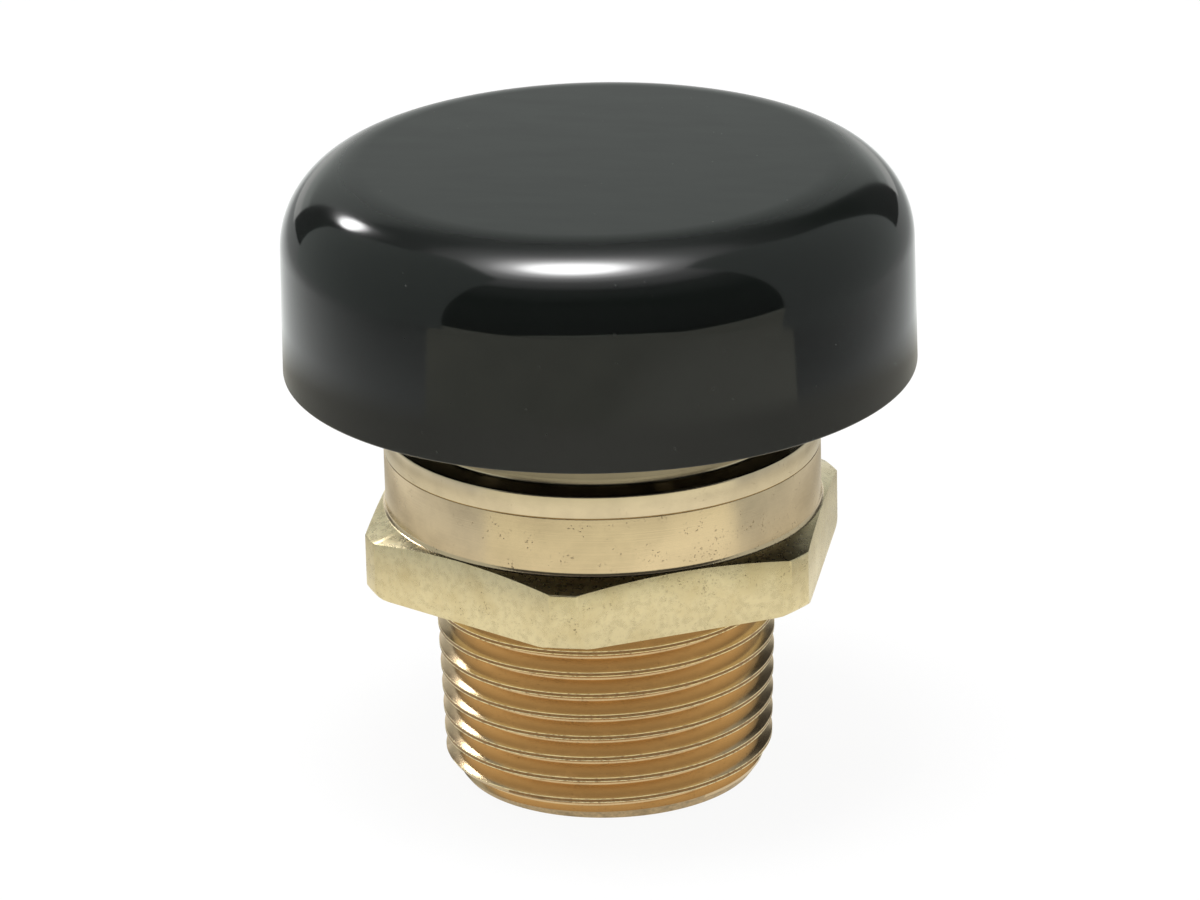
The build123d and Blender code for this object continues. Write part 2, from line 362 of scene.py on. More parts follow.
def bar_brass():
    """Drawn hexagon bar: faintly mottled, with clusters of fine dark pits."""
    tones = scene_settings("colours")
    finish = Finish("hexagon_brass", metallic=1.0)
    mottle = finish.noise(0.55 * MM, 4.0, 0.6)
    patches = finish.ramp(finish.noise(3.2 * MM, 3.0), (0.45, 0), (0.68, 1))
    pits = finish.pits(0.17 * MM, 0.60) * finish.ramp(finish.noise(1.5 * MM), (0.50, 0), (0.64, 1))
    stained = (tones.bar[0] * 0.82, tones.bar[1] * 0.78, tones.bar[2] * 0.70)
    base_tone = finish.mixed(shaded(tones.bar, 0.84), tones.bar, finish.ramp(mottle, (0.36, 0), (0.56, 1)))
    base_tone = finish.mixed(base_tone, stained, patches * 0.65)
    finish.surface("Base Color", finish.mixed(base_tone, tones.tarnish, pits * (patches * 0.65 + 0.20)))
    finish.surface("Roughness", mottle * 0.12 + 0.22 + pits * 0.15)
    finish.relief(mottle * 0.5 - pits, 0.30, 0.03 * MM)
    return finish.material


def collar_brass():
    """Turned collar: faint rings, a dull bloom and small clusters of grey specks."""
    tones = scene_settings("colours")
    finish = Finish("collar_brass", metallic=1.0)
    rings = finish.lines(finish.axis("Z"), 0.10 * MM, 3.0)
    bloom = finish.noise(2.6 * MM, 4.0)
    specks = finish.pits(0.20 * MM, 0.60) * finish.ramp(finish.noise(1.8 * MM), (0.52, 0), (0.62, 1))
    base_tone = finish.mixed(shaded(tones.collar, 0.88), tones.collar, finish.ramp(bloom, (0.34, 0), (0.60, 1)))
    base_tone = finish.mixed(base_tone, shaded(tones.collar, 1.06), finish.ramp(rings, (0.45, 0), (0.75, 0.4)))
    finish.surface("Base Color", finish.mixed(base_tone, tones.tarnish, specks * 0.55))
    finish.surface("Roughness", bloom * 0.10 + 0.15 + specks * 0.15)
    finish.relief(rings * 0.3 + bloom * 0.3 - specks, 0.16, 0.03 * MM)
    return finish.material


def bonnet_brass():
    """Bonnet: rings of a finishing cut on the flange, and everything above the flange painted darker, as painted
    shade under the cap.
    """
    tones = scene_settings("colours")
    finish = Finish("bonnet_brass", metallic=1.0)
    rings = finish.lines(finish.axis("Z") + finish.radius(), 0.12 * MM, 3.0)
    bloom = finish.noise(2.4 * MM, 4.0)
    specks = finish.pits(0.22 * MM, 0.63) * finish.ramp(finish.noise(2.2 * MM), (0.54, 0), (0.62, 1))
    base_tone = finish.mixed(shaded(tones.bonnet, 0.90), tones.bonnet, finish.ramp(bloom, (0.35, 0), (0.6, 1)))
    # Painted shade: above the flange, under the cap, the brass is painted 0.42 as bright.
    boss = (finish.axis("Z") - scene_settings("bonnet").flange_top) / (2 * MM)
    base_tone = finish.mixed(base_tone, shaded(tones.bonnet, 0.42), finish.ramp(boss, (0.12, 0), (0.3, 1)))
    finish.surface("Base Color", finish.mixed(base_tone, tones.tarnish, specks * 0.5))
    finish.surface("Roughness", bloom * 0.12 + 0.18)
    finish.relief(rings * 0.5 + bloom * 0.3, 0.16, 0.02 * MM)
    return finish.material


def thread_brass():
    """Cut thread: smooth flanks with faint tool drag, painted lighter towards the roots as painted light against
    the roots' shade.
    """
    tones = scene_settings("colours")
    sizes = scene_settings("thread")
    finish = Finish("thread_brass", metallic=1.0)
    crest_line = finish.axis("Z") * sizes.taper + sizes.end_radius
    sunk = (crest_line - finish.radius()) / sizes.depth
    bloom = finish.noise(1.8 * MM, 4.0)
    drag = finish.noise(0.5 * MM, 2.0, place=finish.stretched(1, 1, 4))
    # Painted light: the flanks are painted up to 1.35 times as bright towards the roots, against their shade.
    base_tone = finish.mixed(tones.thread, shaded(tones.thread, 1.35), finish.ramp(sunk, (0.35, 0), (1.0, 1)))
    base_tone = finish.mixed(base_tone, shaded(tones.thread, 1.22), finish.ramp(bloom, (0.50, 0), (0.70, 0.6)))
    specks = finish.pits(0.16 * MM, 0.64) * finish.ramp(bloom, (0.50, 0), (0.58, 1))
    finish.surface("Base Color", finish.mixed(base_tone, tones.tarnish, specks * 0.7))
    finish.surface("Roughness", bloom * 0.12 + 0.15)
    finish.relief(drag, 0.06, 0.02 * MM)
    return finish.material


def crest_brass():
    """Flat crest of the thread, in a darker, browner brass than the flanks."""
    tones = scene_settings("colours")
    finish = Finish("crest_brass", metallic=1.0)
    drag = finish.noise(0.22 * MM, 3.0, place=finish.stretched(1, 1, 2))
    torn = finish.ramp(drag, (0.40, 0), (0.62, 1))
    finish.surface("Base Color", finish.mixed(shaded(tones.crest, 0.75), shaded(tones.crest, 1.25), torn))
    finish.surface("Roughness", torn * 0.2 + 0.30)
    finish.relief(drag, 0.4, 0.03 * MM)
    return finish.material


def burr_brass():
    """Burrs along the crest's edges: bright, broken lines."""
    tones = scene_settings("colours")
    finish = Finish("burr_brass", metallic=1.0)
    broken = finish.ramp(finish.noise(0.35 * MM, 3.0), (0.34, 0), (0.52, 1))
    finish.surface("Base Color", finish.mixed(shaded(tones.thread, 0.85), shaded(tones.bar, 1.08), broken))
    finish.surface("Roughness", broken * -0.12 + 0.34)
    finish.relief(broken, 0.4, 0.02 * MM)
    return finish.material


def lead_brass():
    """Cone and end face: dull, grainy and a little stained."""
    tones = scene_settings("colours")
    finish = Finish("lead_brass", metallic=1.0)
    grain = finish.noise(0.28 * MM, 4.0, 0.7)
    stain = finish.noise(2.0 * MM, 3.0)
    base_tone = finish.ramp(grain, (0.35, 0), (0.65, 1))
    base_tone = finish.mixed(shaded(tones.thread, 0.60), shaded(tones.thread, 1.05), base_tone)
    stained = finish.ramp(stain, (0.50, 0), (0.72, 0.5))
    finish.surface("Base Color", finish.mixed(base_tone, tones.tarnish, stained))
    finish.surface("Roughness", grain * 0.25 + 0.36)
    finish.relief(grain, 0.6, 0.04 * MM)
    return finish.material


def bore_brass():
    """Inside of the body: coarser rings, tarnished by water."""
    tones = scene_settings("colours")
    finish = Finish("bore_brass", metallic=1.0)
    rings = finish.lines(finish.axis("Z") + finish.radius(), 0.3 * MM, 2.0)
    stain = finish.noise(2.8 * MM, 4.0)
    stained = finish.ramp(stain, (0.4, 0), (0.7, 1))
    finish.surface("Base Color", finish.mixed(tones.thread, shaded(tones.thread, 0.6), stained))
    finish.surface("Roughness", stain * 0.2 + 0.25)
    finish.relief(rings, 0.3, 0.04 * MM)
    return finish.material


def turned_steel():
    """Stem, nut, washer and spring cup: stainless steel with fine rings."""
    tones = scene_settings("colours")
    finish = Finish("turned_steel", metallic=1.0)
    rings = finish.lines(finish.axis("Z") + finish.radius(), 0.08 * MM, 3.0)
    bloom = finish.noise(1.2 * MM, 3.0)
    finish.surface("Base Color", finish.mixed(shaded(tones.steel, 0.85), tones.steel, bloom))
    finish.surface("Roughness", bloom * 0.15 + 0.18)
    finish.relief(rings, 0.2, 0.012 * MM)
    return finish.material


def spring_steel():
    """Drawn wire: bright, with faint marks along it."""
    tones = scene_settings("colours")
    finish = Finish("spring_steel", metallic=1.0)
    drawn = finish.noise(0.25 * MM, 3.0, place=finish.stretched(1, 1, 3))
    finish.surface("Base Color", finish.mixed(shaded(tones.steel, 0.9), shaded(tones.steel, 1.2), drawn))
    finish.surface("Roughness", drawn * 0.12 + 0.14)
    finish.relief(drawn, 0.12, 0.01 * MM)
    return finish.material


def soft_silicone():
    """Seal disc: satin silicone, slightly dusty."""
    tones = scene_settings("colours")
    finish = Finish("soft_silicone", ior=1.42)
    dust = finish.noise(0.7 * MM, 4.0)
    finish.surface("Base Color", finish.mixed(tones.silicone, shaded(tones.silicone, 1.5), dust * 0.5))
    finish.surface("Roughness", dust * 0.2 + 0.42)
    finish.relief(dust, 0.12, 0.02 * MM)
    return finish.material


def pressed_fibre():
    """Gasket: matt pressed fibre."""
    tones = scene_settings("colours")
    finish = Finish("pressed_fibre", ior=1.4)
    strands = finish.noise(0.35 * MM, 4.0, place=finish.stretched(1, 3, 1))
    finish.surface("Base Color", finish.mixed(tones.fibre, shaded(tones.fibre, 1.8), strands))
    finish.surface("Roughness", strands * 0.2 + 0.7)
    finish.relief(strands, 0.4, 0.04 * MM)
    return finish.material


def moulded_plastic():
    """Cap: polished skirt, satin top with faint rub marks and a little dust."""
    tones = scene_settings("colours")
    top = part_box("vent_cap")[1].z
    finish = Finish("moulded_plastic", ior=1.46)
    on_top = finish.ramp((finish.axis("Z") - (top - 2.6 * MM)) / (2.6 * MM), (0.1, 0), (0.75, 0.35), (1, 1))
    rubs = finish.noise(2.2 * MM, 3.0, place=finish.stretched(0.35, 1, 1, radians(35)))
    cloud = finish.noise(7 * MM, 3.0)
    dust = finish.spots(1.25 * MM, 0.075) * finish.ramp(finish.noise(4 * MM), (0.50, 0), (0.62, 1))
    finish.surface("Base Color", finish.mixed(tones.plastic, (0.16, 0.16, 0.15), dust * (on_top * 0.6 + 0.25)))
    gloss = cloud * 0.05 + 0.045
    satin = rubs * 0.08 + 0.30
    finish.surface("Roughness", gloss + on_top * (satin - gloss))
    ripple = finish.noise(9 * MM, 1.0)
    finish.relief(ripple + dust * 0.5, 0.05, 0.05 * MM)
    return finish.material


# Mesh helpers


def outline(bm, corners, closed=True):
    """Wire through (radius, height, rounding) corners in the XZ plane, with the corners rounded."""
    verts = [bm.verts.new((corner[0], 0, corner[1])) for corner in corners]
    pairs = list(zip(verts, verts[1:])) + ([(verts[-1], verts[0])] if closed else [])
    for pair in pairs:
        bm.edges.new(pair)
    for vert, corner in zip(verts, corners):
        if len(corner) > 2:
            round_corner(bm, vert, *corner[2:])


def round_corner(bm, vert, cut, segments=4):
    """Rounds one corner of a wire, cutting back each side by the same length."""
    bmesh.ops.bevel(
        bm, geom=[vert], offset=cut, offset_type="OFFSET", segments=segments, profile=0.5,
        affect="VERTICES", material=-1, clamp_overlap=False,
    )


def turn(bm, steps=TURN_STEPS):
    """Spins everything in the mesh a full turn about Z."""
    bmesh.ops.spin(
        bm, geom=bm.verts[:] + bm.edges[:], cent=ORIGIN, axis=UP, angle=tau, steps=steps, use_merge=True
    )
    weld(bm)


def weld(bm):
    bmesh.ops.remove_doubles(bm, verts=bm.verts, dist=WELD / 4)
    bmesh.ops.recalc_face_normals(bm, faces=bm.faces)


def turned(corners, closed=True, steps=TURN_STEPS):
    """A new mesh turned from one outline."""
    bm = bmesh.new()
    outline(bm, corners, closed)
    turn(bm, steps)
    return bm


def cut_away(bm, point, normal, fill=True):
    """Cuts off what lies beyond a plane, and closes the cut."""
    cut = bmesh.ops.bisect_plane(
        bm, geom=bm.verts[:] + bm.edges[:] + bm.faces[:], plane_co=point, plane_no=normal,
        clear_outer=True, dist=1e-8,
    )["geom_cut"]
    rim = [part for part in cut if isinstance(part, bmesh.types.BMEdge)]
    if fill:
        return bmesh.ops.holes_fill(bm, edges=rim, sides=0)["faces"]
    return rim


def cut_flats(bm, across_flats, break_edge):
    """Cuts six flats, a corner pointing along Y, and breaks their edges."""
    flats = []
    for side in range(6):
        direction = Vector((cos(side * tau / 6), sin(side * tau / 6), 0))
        flats += cut_away(bm, direction * across_flats / 2, direction)
    sharp = {edge for flat in flats if flat.is_valid for edge in flat.edges}
    bmesh.ops.bevel(
        bm, geom=list(sharp), offset=break_edge, offset_type="OFFSET", segments=2, profile=0.5,
        affect="EDGES", material=-1, clamp_overlap=True,
    )


def helix(bm, pitch, turns, steps):
    """Sweeps the wire in the mesh up a right-hand helix about Z, one turn at a time."""
    bmesh.ops.spin(
        bm, geom=bm.verts[:] + bm.edges[:], cent=ORIGIN, axis=UP, dvec=(0, 0, pitch / steps), angle=tau,
        steps=steps,
    )
    first = bm.verts[:] + bm.edges[:] + bm.faces[:]
    for turn_number in range(1, turns):
        copied = bmesh.ops.duplicate(bm, geom=first)["geom"]
        verts = [part for part in copied if isinstance(part, bmesh.types.BMVert)]
        bmesh.ops.translate(bm, verts=verts, vec=(0, 0, turn_number * pitch))
    bmesh.ops.remove_doubles(bm, verts=bm.verts, dist=WELD)


def thread_skin(profile, pitch, taper, low, high, start):
    """Open skin of a thread between two heights, with a crest at the start height and angle 0.

    The profile runs from one crest's lower edge to the next one's. The skin faces outwards, because
    bridge_loops crosses over the rims of two skins that face opposite ways."""
    bm = bmesh.new()
    outline(bm, profile, closed=False)
    below = ceil((start - low) / pitch) + 1
    bmesh.ops.translate(bm, verts=bm.verts, vec=(0, 0, start - below * pitch))
    helix(bm, pitch, ceil((high - low) / pitch) + 3, THREAD_STEPS)
    for vert in bm.verts:
        reach = vert.co.xy.length
        vert.co.xy *= (reach + vert.co.z * taper) / reach
    cut_away(bm, (0, 0, low), (0, 0, -1), fill=False)
    cut_away(bm, (0, 0, high), UP, fill=False)
    bmesh.ops.recalc_face_normals(bm, faces=bm.faces)
    outward = sum(f.normal.xy.dot(f.calc_center_median().xy) * f.calc_area() for f in bm.faces)
    if outward < 0:
        bmesh.ops.reverse_faces(bm, faces=bm.faces)
    return bm


def coned(bm, radius, height, slope):
    """Draws in what stands outside a cone that widens upwards from a radius and height."""
    for vert in bm.verts:
        reach = vert.co.xy.length
        limit = radius + (vert.co.z - height) * slope
        if reach > limit:
            vert.co.xy *= limit / reach


def joined(bm, other, *heights):
    """Moves one mesh into another, and bridges their open rims at each height."""
    carrier = bpy.data.meshes.new("carrier")
    other.to_mesh(carrier)
    other.free()
    bm.from_mesh(carrier)
    bpy.data.meshes.remove(carrier)
    for height in heights:
        rims = [e for e in bm.edges if e.is_boundary and max(abs(v.co.z - height) for v in e.verts) < WELD]
        bmesh.ops.bridge_loops(bm, edges=rims)
    if heights:
        bmesh.ops.recalc_face_normals(bm, faces=bm.faces)


def piece(name, bm, finishes, body, slot, *nodes, sharp=30):
    """Makes the object of a finished mesh, on its body and in place of its CAD nodes."""
    if any(edge.is_boundary for edge in bm.edges):
        raise RuntimeError(f"{name} is open")
    if bm.calc_volume(signed=True) < 0:
        bmesh.ops.reverse_faces(bm, faces=bm.faces)
    mesh = bpy.data.meshes.new(name)
    bm.to_mesh(mesh)
    bm.free()
    for finish in finishes:
        mesh.materials.append(finish)
    mesh.shade_smooth()
    mesh.set_sharp_from_angle(angle=radians(sharp))
    made = bpy.data.objects.new(name, mesh)
    bpy.context.scene.collection.objects.link(made)
    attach(made, body)
    if nodes:
        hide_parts(*nodes)
    return made


def bored(target, cutter):
    """Subtracts one object from another, and removes the cutter."""
    tool = target.modifiers.new("bore", "BOOLEAN")
    tool.operation = "DIFFERENCE"
    tool.object = cutter
    tool.solver = "EXACT"
    shaped = target.evaluated_get(bpy.context.evaluated_depsgraph_get())
    mesh = bpy.data.meshes.new_from_object(shaped)
    target.modifiers.clear()
    target.data = mesh
    bpy.data.objects.remove(cutter)


# Operators, one for each piece or group of like pieces


class VALVE_OT_body(bpy.types.Operator):
    """Add the brass body with its hexagon, collar and pipe thread"""

    bl_idname = "valve.add_body"
    bl_label = "Body"

    def execute(self, context):
        thread = scene_settings("thread")
        body = scene_settings("body")
        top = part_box("valve_body")[1].z
        socket_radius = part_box("bonnet_gasket")[1].x + 0.1 * MM
        underside = body.collar_radius - 3.3 * MM
        shoulder = body.hex_top - (body.corner_radius - body.collar_radius) * tan(body.cone)
        drilled = (body.pocket_radius - body.inlet_radius) * tan(body.drill_slope)
        mouth = body.inlet_radius + 0.4 * MM
        bm = turned([
            (mouth, 0),
            (body.inlet_radius, 0.4 * MM),
            (body.inlet_radius, body.pocket_floor - drilled),
            (body.pocket_radius, body.pocket_floor),
            (body.pocket_radius, body.ledge),
            (socket_radius, body.ledge),
            (socket_radius, top, body.edge, 2),
            (body.collar_radius, top, body.edge, 3),
            (body.collar_radius, body.hex_top, body.collar_foot, 5),
            (body.corner_radius, shoulder, body.edge, 3),
            (body.corner_radius, body.hex_base, 0.55 * MM, 4),
            (underside, body.hex_base),
        ], closed=False)
        cut_flats(bm, body.across_flats, 0.14 * MM)
        lead = thread.end_radius + thread.lead_height * thread.taper - thread.lead_depth
        skin = thread_skin(
            self.profile(thread), thread.pitch, thread.taper, 0, body.hex_base, thread.first_crest
        )
        coned(skin, lead, 0, thread.lead_depth / thread.lead_height)
        joined(bm, skin, 0, body.hex_base)
        for face in bm.faces:
            face.material_index = self.finish_of(face, body, thread, lead, socket_radius)
        finishes = [
            bar_brass(), collar_brass(), thread_brass(), crest_brass(), burr_brass(), lead_brass(), bore_brass()
        ]
        piece("body", bm, finishes, "valve", "cast_brass", "valve_body")
        return {"FINISHED"}

    def profile(self, thread):
        """One turn of the thread, with a burr raised along each edge of its crest."""
        radius, pitch, half, burr = thread.end_radius, thread.pitch, thread.crest / 2, thread.burr
        root = radius - thread.depth
        middle = (radius + root) / 2
        flank = (pitch - thread.crest - thread.root) / 4
        wide = thread.burr_width
        return [
            (radius, -half),
            (radius + burr, -half + wide * 0.2),
            (radius + burr, -half + wide * 0.75),
            (radius, -half + wide),
            (radius, half - wide),
            (radius + burr, half - wide * 0.75),
            (radius + burr, half - wide * 0.2),
            (radius, half),
            (middle, half + flank),
            (root, (pitch - thread.root) / 2),
            (root, (pitch + thread.root) / 2),
            (middle, pitch - half - flank),
            (radius, pitch - half),
        ]

    def finish_of(self, face, body, thread, lead, socket_radius):
        """Which finish a face has, by where it lies."""
        centre = face.calc_center_median()
        reach = centre.xy.length
        hexagon, collar, flank, crest, burr, cone, bore = range(7)
        if centre.z > body.ledge - WELD and reach < socket_radius + WELD:
            return bore
        if centre.z > body.hex_base - WELD and reach > body.pocket_radius + WELD:
            return collar if centre.z > body.hex_top - 0.05 * MM else hexagon
        if centre.z > body.hex_base or reach < thread.end_radius - thread.depth - thread.lead_depth:
            return bore
        if reach > lead + centre.z * thread.lead_depth / thread.lead_height - 0.02 * MM or centre.z < WELD:
            return cone
        sunk = thread.end_radius + centre.z * thread.taper - reach
        if sunk > thread.burr / 2:
            return flank
        return burr if sunk < -thread.burr / 4 else crest


class VALVE_OT_bonnet(bpy.types.Operator):
    """Add the bonnet with its seat, ports and hub, and the gasket under it"""

    bl_idname = "valve.add_bonnet"
    bl_label = "Bonnet"

    def execute(self, context):
        body = scene_settings("body")
        sizes = scene_settings("bonnet")
        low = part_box("bonnet")[0].z
        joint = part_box("valve_body")[1].z
        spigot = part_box("bonnet_gasket")[1].x + 0.05 * MM
        hub_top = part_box("bonnet")[1].z
        inner, outer = (sizes.lip_radius + side * sizes.lip_root / 2 for side in (-1, 1))
        tip_in, tip_out = (sizes.lip_radius + side * sizes.lip_crest / 2 for side in (-1, 1))
        lip = sizes.deck_bottom - sizes.lip_height
        recess = sizes.deck_bottom + sizes.hub_recess
        bm = turned([
            (sizes.guide_radius, hub_top, 0.15 * MM, 2),
            (sizes.hub_radius, hub_top, 0.35 * MM, 3),
            (sizes.hub_radius, sizes.deck_top, 0.2 * MM, 3),
            (sizes.well_radius, sizes.deck_top, 0.3 * MM, 3),
            (sizes.well_radius, sizes.boss_top, 0.25 * MM, 3),
            (sizes.boss_radius, sizes.boss_top, 0.4 * MM, 4),
            (sizes.boss_radius, sizes.flange_top, 0.25 * MM, 4),
            (body.collar_radius, sizes.flange_top, 0.2 * MM, 4),
            (body.collar_radius, joint, body.edge, 3),
            (spigot, joint),
            (spigot, low, 0.2 * MM, 2),
            (body.pocket_radius, low, 0.2 * MM, 2),
            (body.pocket_radius, sizes.deck_bottom, 0.25 * MM, 3),
            (outer, sizes.deck_bottom),
            (tip_out, lip, 0.08 * MM, 3),
            (tip_in, lip, 0.08 * MM, 3),
            (inner, sizes.deck_bottom),
            (sizes.hub_radius, sizes.deck_bottom, 0.1 * MM, 2),
            (sizes.hub_radius, recess),
            (sizes.guide_radius, recess, 0.1 * MM, 2),
        ])
        made = piece("bonnet_shell", bm, [bonnet_brass()], "valve", "turned_brass", "bonnet")
        bored(made, self.port_drill(sizes))
        made.data.shade_smooth()
        made.data.set_sharp_from_angle(angle=radians(30))
        gasket_low, gasket_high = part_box("bonnet_gasket")
        bm = turned([
            (gasket_high.x, gasket_low.z, 0.15 * MM, 2),
            (gasket_high.x, gasket_high.z, 0.15 * MM, 2),
            (body.pocket_radius + 0.1 * MM, gasket_high.z, 0.15 * MM, 2),
            (body.pocket_radius + 0.1 * MM, gasket_low.z, 0.15 * MM, 2),
        ])
        piece("gasket_ring", bm, [pressed_fibre()], "valve", "fibre", "bonnet_gasket")
        return {"FINISHED"}

    def port_drill(self, sizes):
        """The drill that cuts every port, with a small countersink at both faces."""
        cutters = bmesh.new()
        sink = 0.18 * MM
        beyond = 1 * MM
        wide = sizes.port_radius + sink + beyond
        for port in range(sizes.ports):
            drill = turned([
                (0, sizes.deck_bottom - beyond),
                (wide, sizes.deck_bottom - beyond),
                (sizes.port_radius, sizes.deck_bottom + sink),
                (sizes.port_radius, sizes.deck_top - sink),
                (wide, sizes.deck_top + beyond),
                (0, sizes.deck_top + beyond),
            ], closed=False, steps=48)
            turn_to = Matrix.Rotation(port * tau / sizes.ports, 4, "Z")
            place = turn_to @ Matrix.Translation((sizes.port_circle, 0, 0))
            bmesh.ops.transform(drill, matrix=place, verts=drill.verts)
            joined(cutters, drill)
        mesh = bpy.data.meshes.new("port_drill")
        cutters.to_mesh(mesh)
        cutters.free()
        made = bpy.data.objects.new("port_drill", mesh)
        bpy.context.scene.collection.objects.link(made)
        return made


class VALVE_OT_disc(bpy.types.Operator):
    """Add the seal disc and the dish that holds it"""

    bl_idname = "valve.add_disc"
    bl_label = "Disc"

    def execute(self, context):
        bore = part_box("valve_stem")[1].x - 0.85 * MM
        low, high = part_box("seal_disc")
        bm = turned([
            (bore, low.z), (high.x, low.z, 0.2 * MM, 3), (high.x, high.z, 0.25 * MM, 4),
            (bore, high.z, 0.1 * MM, 2),
        ])
        piece("seal", bm, [soft_silicone()], "poppet", "silicone", "seal_disc")
        seat, radius = low.z, high.x + 0.05 * MM
        low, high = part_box("disc_holder")
        bm = turned([
            (bore, low.z, 0.1 * MM, 2),
            (high.x, low.z, 0.35 * MM, 4),
            (high.x, high.z, 0.15 * MM, 3),
            (radius, high.z, 0.15 * MM, 3),
            (radius, seat),
            (bore, seat),
        ])
        piece("holder_dish", bm, [bonnet_brass()], "poppet", "turned_brass", "disc_holder")
        return {"FINISHED"}


class VALVE_OT_stem(bpy.types.Operator):
    """Add the stem, and the washer and nut on it"""

    bl_idname = "valve.add_stem"
    bl_label = "Stem and nut"

    def execute(self, context):
        steel = turned_steel()
        low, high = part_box("valve_stem")
        radius = 1.5 * MM
        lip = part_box("seal_disc")[1].z
        groove_low, groove_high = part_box("retaining_ring")[0].z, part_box("retaining_ring")[1].z
        groove = radius - 0.35 * MM
        bm = turned([
            (0, low.z),
            (radius, low.z, 0.3 * MM, 3),
            (radius, lip),
            (high.x, lip, 0.06 * MM, 2),
            (high.x, lip + 0.7 * MM, 0.12 * MM, 3),
            (radius, lip + 0.7 * MM, 0.1 * MM, 2),
            (radius, groove_low),
            (groove, groove_low),
            (groove, groove_high),
            (radius, groove_high),
            (radius, high.z, 0.3 * MM, 4),
            (0, high.z),
        ], closed=False, steps=96)
        piece("stem", bm, [steel], "poppet", "stainless_steel", "valve_stem")
        low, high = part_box("stem_washer")
        hole = radius + 0.05 * MM
        bm = turned([
            (hole, low.z, 0.06 * MM, 2), (high.x, low.z, 0.12 * MM, 3), (high.x, high.z, 0.12 * MM, 3),
            (hole, high.z, 0.06 * MM, 2),
        ], steps=96)
        piece("washer", bm, [steel], "poppet", "stainless_steel", "stem_washer")
        low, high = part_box("stem_nut")
        corner, flat = high.x, high.y
        bm = turned([
            (hole, low.z, 0.25 * MM, 2), (flat * 1.01, low.z), (corner, low.z + (corner - flat) * 0.8),
            (corner, high.z), (hole, high.z, 0.25 * MM, 2),
        ], steps=96)
        self.cut_nut(bm, flat)
        piece("nut", bm, [steel], "poppet", "stainless_steel", "stem_nut")
        return {"FINISHED"}

    def cut_nut(self, bm, flat):
        """Cuts the nut's flats, corners pointing along X."""
        bmesh.ops.rotate(bm, cent=ORIGIN, matrix=Matrix.Rotation(pi / 6, 3, "Z"), verts=bm.verts)
        cut_flats(bm, 2 * flat, 0.05 * MM)
        bmesh.ops.rotate(bm, cent=ORIGIN, matrix=Matrix.Rotation(-pi / 6, 3, "Z"), verts=bm.verts)


class VALVE_OT_spring(bpy.types.Operator):
    """Add the return spring, the cup on it and the ring that holds the cup"""

    bl_idname = "valve.add_spring"
    bl_label = "Spring"

    def execute(self, context):
        sizes = scene_settings("spring")
        deck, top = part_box("return_spring")[0].z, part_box("spring_cup")[0].z
        cup_low, cup_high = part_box("spring_cup")
        seat = cup_high.z - 0.5 * MM
        closed_pitch = 2 * sizes.wire_radius * 1.02
        open_pitch = (seat - deck - 2 * sizes.end_turns * closed_pitch) / sizes.turns
        bm = bmesh.new()
        ring = bmesh.ops.create_circle(
            bm, segments=16, radius=sizes.wire_radius, matrix=Matrix.Rotation(pi / 2, 4, "X")
        )["verts"]
        bmesh.ops.translate(bm, verts=ring, vec=(sizes.coil_radius, 0, deck))
        steps = 64
        last = bm.verts[:] + bm.edges[:]
        for turns, pitch in (
            (sizes.end_turns, closed_pitch), (sizes.turns, open_pitch), (sizes.end_turns, closed_pitch)
        ):
            count = round(turns * steps)
            last = bmesh.ops.spin(
                bm, geom=last, cent=ORIGIN, axis=UP, dvec=(0, 0, pitch / steps), angle=tau * count / steps,
                steps=count,
            )["geom_last"]
        bmesh.ops.remove_doubles(bm, verts=bm.verts, dist=WELD / 4)
        bmesh.ops.recalc_face_normals(bm, faces=bm.faces)
        cut_away(bm, (0, 0, deck), (0, 0, -1))
        cut_away(bm, (0, 0, seat), UP)
        bmesh.ops.holes_fill(bm, edges=[e for e in bm.edges if e.is_boundary], sides=0)
        bmesh.ops.recalc_face_normals(bm, faces=bm.faces)
        coil = piece("spring_coil", bm, [spring_steel()], "valve", "spring_wire", "return_spring", sharp=50)
        lift = next(joint["range_m"][1] for joint in frame["joints"] if joint["name"] == "disc_lift")
        (seat - deck - lift) / (seat - deck)
        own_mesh(coil)
        inner = cup_high.x - 0.45 * MM
        hole = 1.55 * MM
        bm = turned([
            (hole, seat, 0.06 * MM, 2),
            (inner, seat, 0.12 * MM, 3),
            (inner, cup_low.z, 0.1 * MM, 2),
            (cup_high.x, cup_low.z, 0.15 * MM, 3),
            (cup_high.x, cup_high.z, 0.45 * MM, 6),
            (hole, cup_high.z, 0.06 * MM, 2),
        ], steps=128)
        piece("cup", bm, [turned_steel()], "poppet", "stainless_steel", "spring_cup")
        self.ring()
        return {"FINISHED"}

    def ring(self):
        """The retaining ring, from a welded copy of its CAD mesh with its edges broken."""
        bm = bmesh.new()
        bm.from_mesh(frame["nodes"]["retaining_ring"].data)
        bmesh.ops.remove_doubles(bm, verts=bm.verts, dist=WELD)
        bmesh.ops.dissolve_limit(bm, angle_limit=radians(1), verts=bm.verts, edges=bm.edges)
        sharp = [edge for edge in bm.edges if edge.calc_face_angle(0) > radians(50)]
        bmesh.ops.bevel(
            bm, geom=sharp, offset=0.05 * MM, offset_type="OFFSET", segments=2, profile=0.5,
            affect="EDGES", material=-1, clamp_overlap=True,
        )
        piece("clip_ring", bm, [spring_steel()], "poppet", "spring_wire", "retaining_ring")


